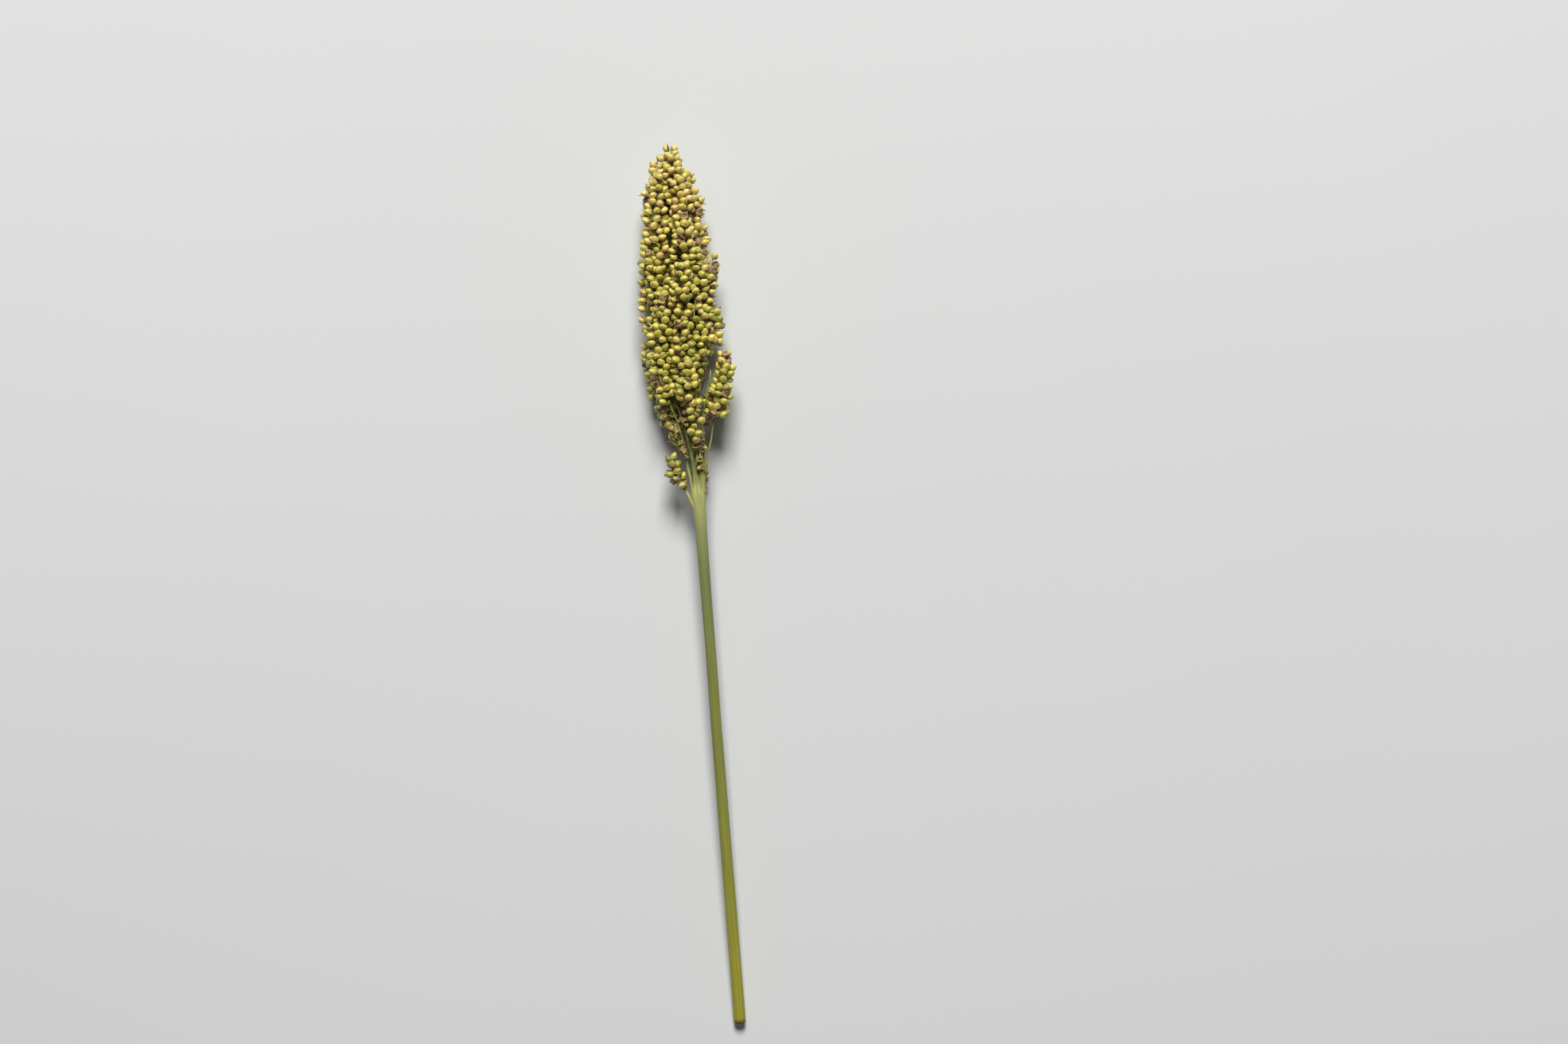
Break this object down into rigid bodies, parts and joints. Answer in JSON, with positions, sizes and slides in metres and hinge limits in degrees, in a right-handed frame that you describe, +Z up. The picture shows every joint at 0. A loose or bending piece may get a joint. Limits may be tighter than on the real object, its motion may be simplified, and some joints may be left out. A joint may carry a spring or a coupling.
{
  "type": "sorghum seed head",
  "caption": "Cut sorghum seed head lying on its side: a long green stem, a pale base node, and a dense tapered head of round yellow-green grains with loose sprays.",
  "frame": {"origin": "centre of the whole part's footprint, on the surface it lies on", "axes": "+Y along the part from the stem's cut end to the tip of the head, +X across it to the right seen from above with the tip away, +Z up from the surface"},
  "size_m": [0.0501, 0.4808, 0.0404],
  "materials": {
    "stem_green": "satin",
    "seeds": "satin"
  },
  "bodies": {
    "root": {"stem": "stem_green", "seed_head": "seeds", "spray_right": "seeds", "spray_low_left": "seeds", "spray_low_under": "seeds"}
  },
  "joints": []
}
